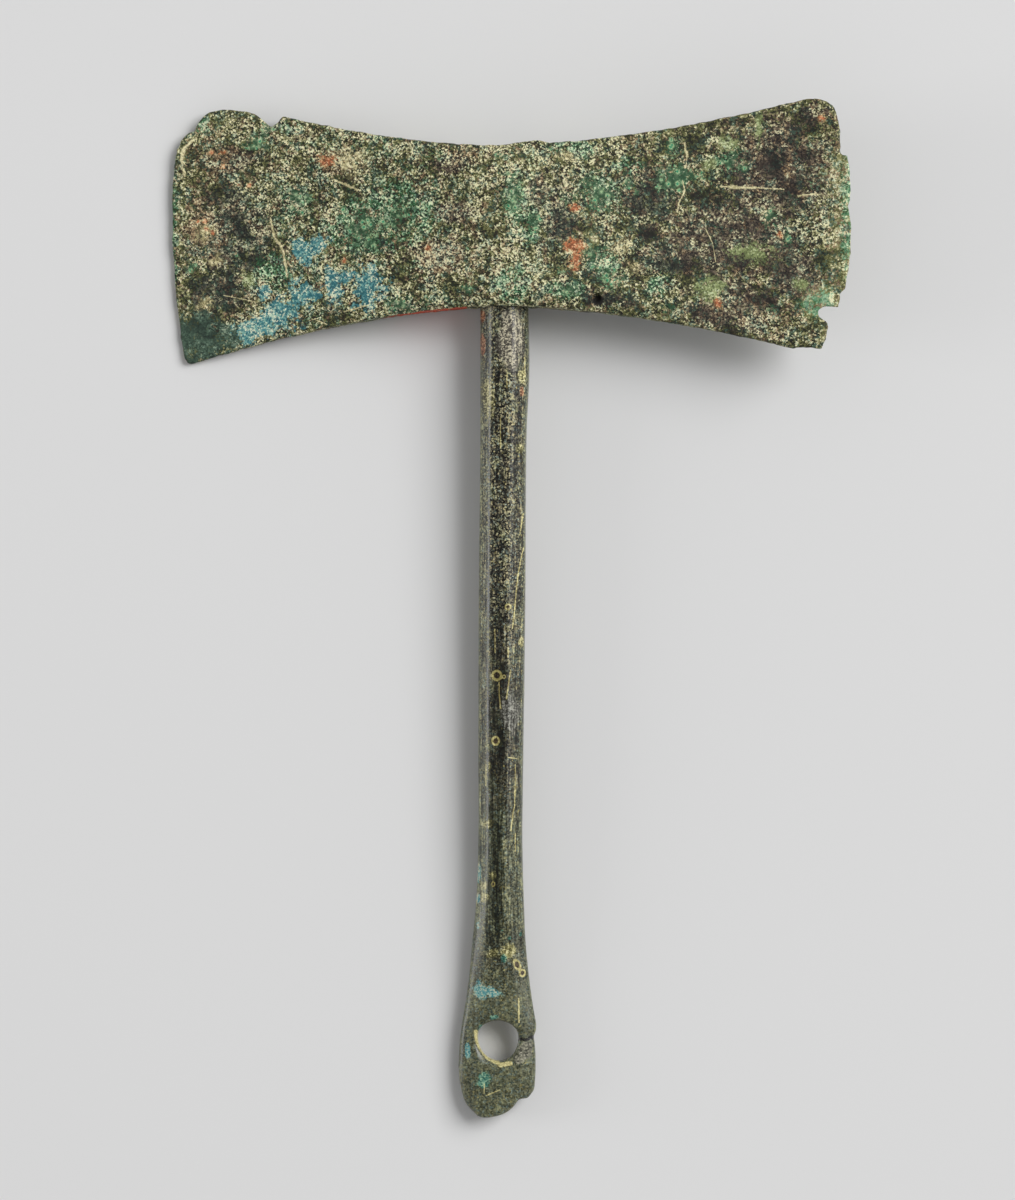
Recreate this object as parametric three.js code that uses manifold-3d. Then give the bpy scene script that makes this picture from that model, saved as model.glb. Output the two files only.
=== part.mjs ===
// Bronze double axe on a bronze rod, as found: a cast head whose two wings flare from a thick
// waist to thin cutting edges, pierced from top to bottom by a shaft hole, and a rod handle
// that passes up through the hole and ends below in a flattened eye for a cord.
// The edges are corroded and chipped, and the eye is cracked through and worn.
//
// Units are millimetres. Everything is drawn in the head's own frame: X along the span, Y up
// the shaft hole, Z through the thickness, with Y = 0 where the rod leaves the head. Then the
// whole piece is laid down on its back as it comes to rest: on the head's underside, on one
// wing's edge and on the rod.

import * as THREE from "three";
import { mergeVertices } from "three/addons/utils/BufferGeometryUtils.js";
import Module from "manifold-3d";

const wasm = await Module();
wasm.setup();

// ---------- Driving dimensions ----------

// The head's height at the waist, and how each of its four rims flares from it:
// by rise * (|x| / reach) ^ power.
const WAIST_TOP = 26.55;
const WAIST_BOTTOM = 0.0;
const UPPER_LEFT = { reach: 37.5, rise: 5.3, power: 1.73 };
const UPPER_RIGHT = { reach: 47.0, rise: 6.9, power: 1.65 };
const LOWER_RIGHT = { reach: 47.5, rise: 7.0, power: 1.68 };
const LOWER_LEFT = { reach: 52.3, rise: 9.4, power: 1.72 };
const LIP = { from: -1.0, full: 3.0, fall: 6.4, to: 7.4, height: 0.55 }; // over the hole's mouth

// The head's thickness: a soft ridge at the waist that thins to the cutting edges.
const RIDGE_THICKNESS = 12.2;
const CUTTING_THICKNESS = 1.1;
const RIDGE_SOFTNESS = 5.0; // the ridge is rounded over about this width
const HALF_SPAN = 56.5;
const THINNING = 1.75; // above 1 the faces are hollow, at 1 they would be flat wedges
const RIM_ROUND = 1.2; // how far each face falls away at the rims of the waist
const RIM_SHARPNESS = 9; // the higher, the nearer to the rim that starts

// The grid that the head's faces are worked out on.
const GRID = { reach: 60, along: 60, across: 14 };

// The rod's stations, from its upper end down: y, left edge, right edge, half depth.
const ROD_TOP = WAIST_TOP - 0.4;
const ROD_STATIONS = [
  [ROD_TOP, -4.0, 3.7, 3.7],
  [0, -4.15, 3.85, 3.8],
  [-11, -4.15, 4.0, 3.8],
  [-21, -4.15, 3.55, 3.7],
  [-48, -4.4, 3.35, 3.6],
  [-75, -4.5, 3.0, 3.5],
  [-90, -4.5, 2.85, 3.4],
  [-99, -4.85, 3.1, 3.1],
  [-106, -5.5, 3.4, 2.7],
  [-112, -6.1, 4.0, 2.3],
  [-117, -6.8, 4.7, 2.1],
  [-121, -7.5, 5.4, 2.0],
  [-127, -7.9, 5.6, 1.9],
  [-136, -7.9, 5.6, 1.6],
];
const ROD_SIDES = 24; // three to each of the rod's eight hammered facets
const ROD_STEP = 2.2;
const FACETS = 8;

// The eye: how far its hole reaches each way, and the worn funnel at each of its mouths.
const EYE = { left: -4.7, right: 2.3, top: -119.2, bottom: -126.1, widest: -121.9, middle: -1.0 };
const FUNNEL = { x: -1.5, y: -123.0, radius: 4.1, taper: 0.8, depth: 0.7 };

// The gap that keeps the rod and the head apart.
const SHAFT_GAP = 0.35;

// A casting flaw beside the rod, a small pit in the lower rim.
const PIT = { x: 15.6, y: 1.2, radius: 0.85, sink: 0.35 };

// How the piece lies: rolled onto its left wing, with the rod's end down, and how much is worn
// off at the places that it rests on.
const ROLL_DEG = 5.2;
const PITCH_DEG = 1.3;
const WORN_FLAT = 0.45;

const BRONZE_CRUST = { color: 0x5d6149, roughness: 0.9, metalness: 0.1 };
const BRONZE_DARK = { color: 0x3c3a30, roughness: 0.45, metalness: 0.6 };

// ---------- Small helpers ----------

// A closed geometry as a manifold-3d solid.
function solid(geometry) {
  const bare = geometry.clone();
  bare.deleteAttribute("normal");
  bare.deleteAttribute("uv");
  const merged = mergeVertices(bare, 1e-4);
  return new wasm.Manifold(
    new wasm.Mesh({
      numProp: 3,
      vertProperties: merged.attributes.position.array,
      triVerts: new Uint32Array(merged.index.array),
    }),
  );
}

// A manifold-3d solid as a geometry.
function geometryOf(made) {
  const mesh = made.getMesh();
  const geometry = new THREE.BufferGeometry()
    .setAttribute("position", new THREE.BufferAttribute(mesh.vertProperties, 3))
    .setIndex(new THREE.BufferAttribute(mesh.triVerts, 1));
  geometry.computeVertexNormals();
  return geometry;
}

// Moves every vertex of a geometry by a function of its place.
function reshape(geometry, move) {
  const place = geometry.attributes.position;
  const point = new THREE.Vector3();
  for (let i = 0; i < place.count; i++) {
    point.fromBufferAttribute(place, i);
    move(point);
    place.setXYZ(i, point.x, point.y, point.z);
  }
  return geometry;
}

// A shape drawn in X and Y, as a slab through the whole thickness.
function slab(shape, depth = 30) {
  return new THREE.ExtrudeGeometry(shape, { depth, bevelEnabled: false }).translate(0, 0, -depth / 2);
}

// A run of straight breaks through a few corners.
function broken(shape, corners) {
  corners.forEach(([x, y]) => shape.lineTo(x, y));
}

// ---------- The head ----------

const { smoothstep, lerp, degToRad } = THREE.MathUtils;

function flare({ rise, reach, power }, x) {
  return rise * Math.pow(Math.abs(x) / reach, power);
}

function upperRim(x) {
  const lip = smoothstep(x, LIP.from, LIP.full) * (1 - smoothstep(x, LIP.fall, LIP.to));
  return WAIST_TOP + flare(x < 0 ? UPPER_LEFT : UPPER_RIGHT, x) + LIP.height * lip;
}

function lowerRim(x) {
  return WAIST_BOTTOM - flare(x < 0 ? LOWER_LEFT : LOWER_RIGHT, x);
}

// Half the head's thickness at a distance along the span; rise is -1 at the lower rim and 1 at
// the upper one.
function halfThickness(x, rise) {
  const fromRidge = Math.hypot(x, RIDGE_SOFTNESS) - RIDGE_SOFTNESS;
  const share = Math.min(1, fromRidge / (HALF_SPAN - RIDGE_SOFTNESS));
  const swell = Math.pow(1 - share, THINNING);
  const rounded = RIM_ROUND * Math.pow(Math.abs(rise), RIM_SHARPNESS) * swell;
  return lerp(CUTTING_THICKNESS, RIDGE_THICKNESS, swell) / 2 - rounded;
}

// The head before anything broke off it, wider than it ever was. Its grid closes up towards the
// rims, where the faces curve most.
function headBlank() {
  const blank = new THREE.BoxGeometry(2, 2, 2, GRID.along, GRID.across, 1);
  return reshape(blank, (p) => {
    const x = p.x * GRID.reach;
    const rise = Math.sin((p.y * Math.PI) / 2);
    p.set(x, lerp(lowerRim(x), upperRim(x), (rise + 1) / 2), p.z * halfThickness(x, rise));
  });
}

// What is left of the blank. Between the broken ends the outline runs clear of the rims.
function headOutline() {
  const clear = 45;
  const shape = new THREE.Shape();
  shape.moveTo(-37.4, clear);
  shape.lineTo(46, clear);
  shape.lineTo(46, 34);
  // The right wing's rounded upper corner.
  shape.bezierCurveTo(51.5, 34.7, 54.6, 34.4, 55.2, 31.4);
  // Its cutting edge, which has lost flakes: a step, a slit and a long shallow bulge.
  broken(shape, [[55.7, 29.2], [55.7, 25.0], [57.0, 24.8], [57.3, 22.0], [57.4, 17.0], [56.6, 17.8]]);
  shape.bezierCurveTo(57.9, 15.0, 57.8, 9.0, 56.8, 4.4);
  broken(shape, [[56.7, 3.0], [56.2, 2.3], [55.7, 2.4], [55.7, 0.8], [55.4, -0.3]]);
  // The bite out of the lower corner.
  shape.lineTo(53.4, -0.1);
  shape.bezierCurveTo(51.6, -0.4, 51.7, -2.2, 53.5, -2.6);
  broken(shape, [[53.8, -3.1], [53.4, -5.7], [52.6, -7.3], [51.0, -7.0], [48.4, -7.0], [46.6, -8.0]]);
  shape.lineTo(46, -clear);
  shape.lineTo(-52.6, -clear);
  // The left wing's cutting edge, worn to a shallow curve.
  shape.lineTo(-53.0, -9.6);
  shape.quadraticCurveTo(-54.0, -9.4, -54.1, -7.6);
  shape.bezierCurveTo(-55.2, -1.5, -56.6, 10.0, -55.8, 23.5);
  // The left wing's upper corner: steps, a rounded lobe and the notch beyond it.
  broken(shape, [[-55.2, 26.4], [-54.7, 27.0], [-54.5, 28.0], [-53.1, 29.3], [-52.2, 29.2]]);
  shape.bezierCurveTo(-51.4, 32.0, -49.8, 33.1, -46.9, 33.0);
  shape.bezierCurveTo(-43.0, 32.9, -41.6, 32.3, -39.3, 29.9);
  shape.lineTo(-38.2, 30.6);
  shape.lineTo(-37.4, 31.6);
  shape.closePath();
  return shape;
}

// ---------- The rod ----------

// The rod's middle, half width and half depth at a height, on smooth curves through its stations.
const stations = new THREE.CubicInterpolant(
  ROD_STATIONS.map(([y]) => -y),
  ROD_STATIONS.flatMap(([, ...edges]) => edges),
  3,
);
function rodAt(y) {
  const [left, right, depth] = stations.evaluate(-Math.min(y, ROD_TOP));
  return { middle: (left + right) / 2, halfWidth: (right - left) / 2, depth };
}

// The radius of an eight-sided section with flats at the sides and the front, as a share of
// its half width.
function facetRadius(angle) {
  const facet = (2 * Math.PI) / FACETS;
  const offFlat = angle - facet * Math.round(angle / facet);
  return 1 / Math.cos(offFlat);
}

// The rod between two heights, grown all round by a gap.
function rodBlank(top, bottom, grown = 0) {
  const steps = Math.round((top - bottom) / ROD_STEP);
  const blank = new THREE.CylinderGeometry(1, 1, 1, ROD_SIDES, steps);
  return reshape(blank, (p) => {
    const y = lerp(bottom, top, p.y + 0.5);
    const { middle, halfWidth, depth } = rodAt(y);
    const radius = facetRadius(Math.atan2(p.z, p.x));
    p.set(middle + p.x * radius * (halfWidth + grown), y, p.z * radius * (depth + grown));
  });
}

// The rod's outline: clear of it above, and the worn and broken eye below, with its hole.
function rodOutline() {
  const clear = 12;
  const shape = new THREE.Shape();
  shape.moveTo(-clear, ROD_TOP + 5);
  shape.lineTo(-clear, -118);
  shape.lineTo(-7.7, -120);
  shape.bezierCurveTo(-8.1, -124, -8.2, -130.5, -6.5, -133.4);
  shape.bezierCurveTo(-5.3, -134.6, -4.5, -135.7, -3.4, -135.6);
  shape.bezierCurveTo(-1.2, -135.4, 0.7, -134.9, 1.9, -133.1);
  broken(shape, [[2.3, -132.3], [3.8, -132.3], [4.9, -130.8]]);
  shape.bezierCurveTo(5.2, -127.5, 5.1, -124.5, 4.9, -122.4);
  broken(shape, [[4.4, -121.9], [5.0, -121.6], [5.3, -120.2], [clear, -118], [clear, ROD_TOP + 5]]);
  shape.closePath();
  shape.holes.push(eyeHole());
  return shape;
}

// The eye's hole, round above and drawn out by wear to the left and below.
function eyeHole() {
  const { left, right, top, bottom, widest, middle } = EYE;
  const round = 0.55; // the reach of a quarter circle's control points, as a share of its radius
  const hole = new THREE.Path();
  hole.moveTo(middle, top);
  [[right, top], [right, bottom], [left, bottom], [left, top]].forEach(([x, y], quarter) => {
    const onSide = [x, lerp(widest, y, round)];
    const onEnd = [lerp(middle, x, round), y];
    if (quarter % 2 === 0) hole.bezierCurveTo(...onEnd, ...onSide, x, widest);
    else hole.bezierCurveTo(...onSide, ...onEnd, middle, y);
  });
  return hole;
}

// The worn funnel at one mouth of the eye; side is 1 in front and -1 behind.
function eyeFunnel(side) {
  const { x, y, radius, taper, depth } = FUNNEL;
  const cone = new THREE.CylinderGeometry(radius + taper, radius - taper, 2 * depth, 24);
  cone.rotateX((side * Math.PI) / 2);
  return cone.translate(x, y, side * rodAt(y).depth);
}

// ---------- Lying down ----------

// How the drawing is turned to lie on its back, and the same turn undone.
const lying = new THREE.Matrix4().makeRotationFromEuler(
  new THREE.Euler(degToRad(PITCH_DEG), degToRad(-ROLL_DEG), 0),
);

// Everything below the surface that the piece lies on, in the drawing's frame.
function below(surface) {
  const depth = 20;
  const block = new THREE.BoxGeometry(400, 400, depth).translate(0, 0, surface - depth / 2);
  return solid(block.applyMatrix4(lying.clone().invert()));
}

// ---------- The parts ----------

const pitRise = (2 * (PIT.y - lowerRim(PIT.x))) / (upperRim(PIT.x) - lowerRim(PIT.x)) - 1;
const pit = new THREE.SphereGeometry(PIT.radius, 12, 8);
pit.translate(PIT.x, PIT.y, halfThickness(PIT.x, pitRise) - PIT.sink);
const clearOfHead = 4;
const shaftHole = rodBlank(WAIST_TOP + clearOfHead, WAIST_BOTTOM - clearOfHead, SHAFT_GAP);
const wholeHead = solid(headBlank())
  .intersect(solid(slab(headOutline())))
  .subtract(solid(shaftHole))
  .subtract(solid(pit));
const wholeRod = solid(rodBlank(ROD_TOP, ROD_STATIONS.at(-1)[0]))
  .intersect(solid(slab(rodOutline())))
  .subtract(solid(eyeFunnel(1)))
  .subtract(solid(eyeFunnel(-1)));

const lowest = new THREE.Box3().setFromBufferAttribute(
  geometryOf(wholeHead).applyMatrix4(lying).attributes.position,
).min.z;
const surface = lowest + WORN_FLAT;

function part(name, made, look) {
  const mesh = new THREE.Mesh(geometryOf(made), new THREE.MeshStandardMaterial(look));
  mesh.name = name;
  return mesh;
}

const axe = new THREE.Group();
axe.add(part("axe_head", wholeHead.subtract(below(surface)), BRONZE_CRUST));
axe.add(part("rod_handle", wholeRod.subtract(below(surface)), BRONZE_DARK));
axe.applyMatrix4(lying);

// The origin is under the middle of the whole piece, on the surface that it lies on.
const bounds = new THREE.Box3().setFromObject(axe, true);
const centre = bounds.getCenter(new THREE.Vector3());
axe.position.set(-centre.x, -centre.y, -surface);

export default axe;
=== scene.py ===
# %% [markdown]
# # A bronze double axe, as it was found
# The object is a double axe cast in bronze, on a bronze rod that ends in a pierced eye. It lay
# in the ground for some three thousand years. The head has grown a crust of copper minerals and
# soil: green malachite, blue azurite, red cuprite and cream grains of lime. The rod was handled
# more and kept a smooth, dark skin. The solid model gives both their true size. This script
# dresses each with a fine skin of the same form, carves the crust's relief into it, and paints
# the minerals where they grew.

# %% Load the frame
import math

import bmesh
import bpy
import numpy as np
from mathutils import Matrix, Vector, noise


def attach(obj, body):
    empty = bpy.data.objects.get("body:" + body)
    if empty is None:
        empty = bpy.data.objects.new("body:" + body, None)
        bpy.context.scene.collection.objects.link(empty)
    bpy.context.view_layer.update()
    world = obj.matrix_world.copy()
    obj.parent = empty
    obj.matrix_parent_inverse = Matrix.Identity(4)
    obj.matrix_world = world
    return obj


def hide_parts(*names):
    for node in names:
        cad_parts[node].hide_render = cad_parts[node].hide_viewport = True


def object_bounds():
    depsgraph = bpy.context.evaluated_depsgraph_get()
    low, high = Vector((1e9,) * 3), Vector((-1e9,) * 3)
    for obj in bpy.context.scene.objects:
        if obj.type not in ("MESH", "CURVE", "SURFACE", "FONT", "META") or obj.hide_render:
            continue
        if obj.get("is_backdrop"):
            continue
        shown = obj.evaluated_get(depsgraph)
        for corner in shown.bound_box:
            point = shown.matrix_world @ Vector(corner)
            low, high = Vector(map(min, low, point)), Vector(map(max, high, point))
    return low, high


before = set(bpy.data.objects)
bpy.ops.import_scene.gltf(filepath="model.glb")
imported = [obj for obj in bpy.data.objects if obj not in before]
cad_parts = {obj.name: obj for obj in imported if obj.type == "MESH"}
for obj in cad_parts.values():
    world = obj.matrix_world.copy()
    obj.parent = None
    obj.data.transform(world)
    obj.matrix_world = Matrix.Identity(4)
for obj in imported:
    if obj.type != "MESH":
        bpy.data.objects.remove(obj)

cad_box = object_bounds()
MM = 0.001
cad_box_mm = [round(v / MM, 1) for v in (*cad_box[0], *cad_box[1])]
print("nodes:", sorted(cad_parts), "box in mm:", cad_box_mm)

# %% [markdown]
# ## The camera
# The axe lies on its back and is seen from straight above, from about an arm's length and with
# a long lens, which keeps the outline true. The view is centred a little off the middle of the
# object.

# %% Camera
CAMERA_HEIGHT = 900 * MM
VIEW_HEIGHT = 200 * MM  # how much of the ground the frame's long side takes in
VIEW_CENTRE = Vector((-0.4 * MM, 1.75 * MM, 0.0))
OBJECT_PLANE = 6 * MM  # the height at which VIEW_HEIGHT holds, about the rod's middle

lens = bpy.data.cameras.new("camera")
lens.sensor_width = 36.0
lens.lens = lens.sensor_width * (CAMERA_HEIGHT - OBJECT_PLANE) / VIEW_HEIGHT
lens.clip_start = 0.05
lens.clip_end = 20.0
camera = bpy.data.objects.new("camera", lens)
camera.location = VIEW_CENTRE + Vector((0, 0, CAMERA_HEIGHT))
bpy.context.scene.collection.objects.link(camera)
bpy.context.scene.camera = camera
print("lens:", round(lens.lens, 1), "mm at", CAMERA_HEIGHT, "m")

# %% [markdown]
# ## A fine skin over each solid
# The solid model is a few thousand flat triangles. To carve a crust the skin needs an even,
# fine mesh, whatever the triangles below it are. Subdividing would keep their slivers, so a
# voxel remesh is used: it wraps the solid in small squares of one size. A short smoothing then
# takes off the flat facets and the sharp corners, as wear did. The solid itself is never
# touched: a merged copy is.

# %% Wrap a solid in small squares
WELD = 0.002 * MM  # points closer than this are one


def skin_over(node, name, voxel, smoothing):
    """A new object of the node's form, in squares of one voxel's size."""
    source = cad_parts[node]
    merged = bmesh.new()
    merged.from_mesh(source.data)
    bmesh.ops.remove_doubles(merged, verts=merged.verts, dist=WELD)
    mesh = bpy.data.meshes.new(name)
    merged.to_mesh(mesh)
    merged.free()
    mesh.materials.clear()
    skin = bpy.data.objects.new(name, mesh)
    bpy.context.scene.collection.objects.link(skin)

    wrap = skin.modifiers.new("wrap", "REMESH")
    wrap.mode = "VOXEL"
    wrap.voxel_size = voxel
    wear = skin.modifiers.new("wear", "SMOOTH")
    wear.factor = 0.5
    wear.iterations = smoothing
    bpy.context.view_layer.update()
    finished = skin.evaluated_get(bpy.context.evaluated_depsgraph_get())
    made = bpy.data.meshes.new_from_object(finished)
    skin.modifiers.clear()
    skin.data = made
    made.name = name
    made.shade_smooth()
    print(name, len(made.polygons), "squares of", round(voxel / MM, 2), "mm")
    return skin


head = skin_over("axe_head", "head_crusted", voxel=0.34 * MM, smoothing=3)
rod = skin_over("rod_handle", "rod_polished", voxel=0.27 * MM, smoothing=3)

# %% [markdown]
# ## Where things are on the skin
# Relief and minerals are both worked out for all of a skin's points at once, so the points are
# read into one table, in millimetres. A field is one number for each point. A spot is an
# ellipse: its middle, its two radii and its turn. Its field is the distance from its middle
# counted in radii, so it is 1 on the border. A material can then move the border with a fine
# noise and give the mineral its crumbly edge.
#
# A crack or a streak is narrower than the skin's squares. Its field is the distance across it,
# with a sign for the side, counted in half widths. That changes evenly over a square, so the
# material finds the line's true place between two points. A second field tells how near the
# line is, and keeps the pattern from showing where the sign changes between two lines.

# %% Tables and fields
FAR = 3.0  # what a field of spots says far from all of them, in radii
FAR_ACROSS = 9.0  # what a field of lines says far from all of them, in half widths


def table(mesh, what):
    """The points' places in millimetres, or their normals."""
    flat = np.zeros(len(mesh.vertices) * 3, np.float32)
    if what == "places":
        mesh.vertices.foreach_get("co", flat)
        flat /= MM
    else:
        mesh.vertex_normals.foreach_get("vector", flat)
    return flat.reshape(-1, 3).astype(np.float64)


def spots_field(places, spots):
    """Distance in radii from the nearest spot (x, y, radius, radius, turn in degrees), up to FAR."""
    field = np.full(len(places), FAR)
    for x, y, long, wide, turn in spots:
        c, s = math.cos(math.radians(turn)), math.sin(math.radians(turn))
        dx, dy = places[:, 0] - x, places[:, 1] - y
        field = np.minimum(field, np.hypot((dx * c + dy * s) / long, (dy * c - dx * s) / wide))
    return field


def lines_fields(places, lines, reach=0.8):
    """Signed distance across the nearest line (half width, its points...), and nearness 1 to 0."""
    nearest = np.full(len(places), reach)
    across = np.full(len(places), FAR_ACROSS)
    for half, *points in lines:
        for start, end in zip(points, points[1:]):
            along = np.subtract(end, start)
            to = places[:, :2] - start
            share = np.clip(to @ along / (along @ along), 0, 1)
            away = np.hypot(*(to - share[:, None] * along).T)
            side = (to[:, 0] * along[1] - to[:, 1] * along[0]) / np.hypot(*along)
            here = away < nearest
            nearest[here] = away[here]
            across[here] = side[here] / half
    return np.clip(across, -FAR_ACROSS, FAR_ACROSS), 1 - nearest / reach


def rough(places, size, octaves=3, seed=0.0):
    """A fractal noise, about -1 to 1, whose lumps are about this size in millimetres."""
    shift = Vector((seed, seed * 1.7, seed * 0.3))
    return np.array([noise.fractal(Vector(p) / size + shift, 1.0, 2.0, octaves) for p in places])


def soft(field, low, high):
    """0 at low, 1 at high, with a smooth rise between; high may be below low."""
    share = np.clip((field - low) / (high - low), 0, 1)
    return share * share * (3 - 2 * share)


def keep_field(mesh, name, field):
    """Stores a field on the skin for its material to read."""
    layer = mesh.attributes.new(name, "FLOAT", "POINT")
    layer.data.foreach_set("value", np.asarray(field, np.float32))


head_places, head_normals = table(head.data, "places"), table(head.data, "normals")
rod_places, rod_normals = table(rod.data, "places"), table(rod.data, "normals")
print("points:", len(head_places), "on the head,", len(rod_places), "on the rod")

# %% [markdown]
# ## The crust's relief
# The crust is thin: lumps of a tenth of a millimetre, two to three millimetres across, with
# finer ones on them, and a ragged rim where it flaked off the thin edges. It is carved for
# real, along each point's normal, because the lumps catch the light and break up the outline.

# %% Carve the crust
def move_out(mesh, by):
    """Moves each point along its normal by a field in millimetres."""
    places = table(mesh, "places") + table(mesh, "normals") * by[:, None]
    mesh.vertices.foreach_set("co", (places * MM).astype(np.float32).ravel())
    mesh.update()


LUMPS, GRIT, RAGGED = 0.10, 0.05, 0.10  # heights in mm
rim = soft(np.abs(head_normals[:, 2]), 0.8, 0.3)
relief = LUMPS * rough(head_places, size=2.6, octaves=3, seed=4.0)
relief += GRIT * rough(head_places, size=0.9, octaves=2, seed=11.0)
relief += RAGGED * rim * rough(head_places, size=1.3, octaves=3, seed=23.0)
move_out(head.data, relief)
print("relief from", round(relief.min(), 2), "to", round(relief.max(), 2), "mm")

# %% [markdown]
# ## The rod's worn faces
# The rod was hammered from a bar, so its section is a soft polygon, and its upper face is the
# flattest. That face is planed here on the skin: each slice across the rod has a middle and a
# radius, and what stands out past the face's plane is pressed back. The two arrises beside the
# face stay sharp enough to carry the two long highlights.

# %% Plane the upper face
FACE_TILT = -8.5  # degrees that the face leans, to the left
FACE_DEPTH = 0.90  # how far the face is from the rod's middle, in radii
FACE_START, FACE_END = 46.0, -62.0  # along the rod, in mm
FACE_FADE = 4  # over how many mm the face runs out past its ends
PRESSED = 0.85  # the share of what stands proud that is pressed back
EASINGS = 10  # how often the planed skin is smoothed
slices = np.round(rod_places[:, 1]).astype(int)
middle_x, middle_z, radius = (np.zeros(len(rod_places)) for _ in range(3))
for row in np.unique(slices):
    here = slices == row
    x, z = rod_places[here, 0], rod_places[here, 2]
    radius[here] = (x.max() - x.min()) / 2
    middle_x[here] = (x.max() + x.min()) / 2
    middle_z[here] = z.min() + min((x.max() - x.min()) / 2, (z.max() - z.min()) / 2)
lean = math.radians(FACE_TILT)
rise = (rod_places[:, 0] - middle_x) * math.sin(lean) + (rod_places[:, 2] - middle_z) * math.cos(lean)
proud = np.clip(rise - FACE_DEPTH * radius, 0, None)
within = soft(rod_places[:, 1], FACE_START + FACE_FADE, FACE_START)
within *= soft(rod_places[:, 1], FACE_END - FACE_FADE, FACE_END)
press = PRESSED * proud * within
rod_pressed = rod_places - press[:, None] * (math.sin(lean), 0, math.cos(lean))
rod.data.vertices.foreach_set("co", (rod_pressed * MM).astype(np.float32).ravel())
rod.data.update()
eased = bmesh.new()
eased.from_mesh(rod.data)
for easing in range(EASINGS):
    bmesh.ops.smooth_vert(
        eased, verts=eased.verts, factor=0.5, use_axis_x=True, use_axis_y=True, use_axis_z=True)
eased.to_mesh(rod.data)
eased.free()
rod.data.shade_smooth()
print("planed by up to", round(press.max(), 2), "mm")
print("radius", round(radius.min(), 2), "to", round(radius.max(), 2), "mm")

# %% [markdown]
# ## A node helper and the colours
# Materials are built from nodes. One small helper adds a node, sets its settings and links its
# inputs, and a second turns the colours as they are seen, in hex, into the linear values that
# the renderer works in.

# %% Helpers for materials
def linear(code):
    """An sRGB hex colour as linear RGBA."""
    parts = [int(code[i : i + 2], 16) / 255 for i in (1, 3, 5)]
    return (*[p / 12.92 if p <= 0.04045 else ((p + 0.055) / 1.055) ** 2.4 for p in parts], 1.0)


def socket(sockets, name):
    """The socket in use with this name, or at this place."""
    if isinstance(name, int):
        return sockets[name]
    return next(s for s in sockets if s.enabled and s.name == name)


def add(tree, kind, settings, links=None):
    """Adds a node. A setting is a property, a ramp's stops, or an input's value. A link is an
    input's source: an output, a node, which stands for its first output in use, or the name of
    a field of the skin."""
    node = tree.nodes.new(kind)
    for name, value in settings.items():
        if name == "stops":
            while len(node.color_ramp.elements) < len(value):
                node.color_ramp.elements.new(0.5)
            for stop, (position, code) in zip(node.color_ramp.elements, value):
                stop.position, stop.color = position, linear(code)
        elif isinstance(name, str) and name in node.bl_rna.properties:
            setattr(node, name, value)
        else:
            socket(node.inputs, name).default_value = value
    for name, source in (links or {}).items():
        if isinstance(source, str):
            source = add(tree, "ShaderNodeAttribute", {"attribute_name": source}).outputs["Fac"]
        if isinstance(source, bpy.types.Node):
            source = next(s for s in source.outputs if s.enabled)
        tree.links.new(source, socket(node.inputs, name))
    return node


def new_material(name):
    """An empty material with its shader, and the place on the piece in millimetres."""
    material = bpy.data.materials.new(name)
    material.use_nodes = True
    tree = material.node_tree
    tree.nodes.clear()
    shader = add(tree, "ShaderNodeBsdfPrincipled", {})
    add(tree, "ShaderNodeOutputMaterial", {}, {"Surface": shader})
    seat = add(tree, "ShaderNodeTexCoord", {})
    place = add(tree, "ShaderNodeVectorMath", {"operation": "SCALE", "Scale": 1 / MM},
                {0: seat.outputs["Object"]})
    return material, tree, shader, place


def cover(tree, under, over, field, crumbs, raggedness, middle, edge, reach=1.0):
    """Lays one colour over another where a field is below the reach. The border is moved by a
    noise, whose middle value leaves it in place, times the raggedness, and is twice the edge
    wide."""
    moved = add(tree, "ShaderNodeMath", {"operation": "MULTIPLY_ADD", 1: raggedness}, {0: crumbs, 2: field})
    border = reach + raggedness * middle
    share = add(tree, "ShaderNodeMapRange",
                {"interpolation_type": "SMOOTHSTEP", "From Min": border + edge, "From Max": border - edge},
                {"Value": moved})
    return add(tree, "ShaderNodeMix", {"data_type": "RGBA"}, {"Factor": share, "A": under, "B": over})


# %% [markdown]
# ## The ground colours of the crust
# Under the minerals lies the ground of the crust. It is dark where the old brown skin of the
# bronze shows, pale where lime and soil hold on, green where copper salts soaked it, and brown
# over most of the right wing. Each kind has its own list of patches, which only lean the
# pattern one way or the other, so they melt into each other. Shorter lists say where it is
# warm, cool, sparkling with pale grains, slate at the lower left corner, and smeared smooth.

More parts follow.
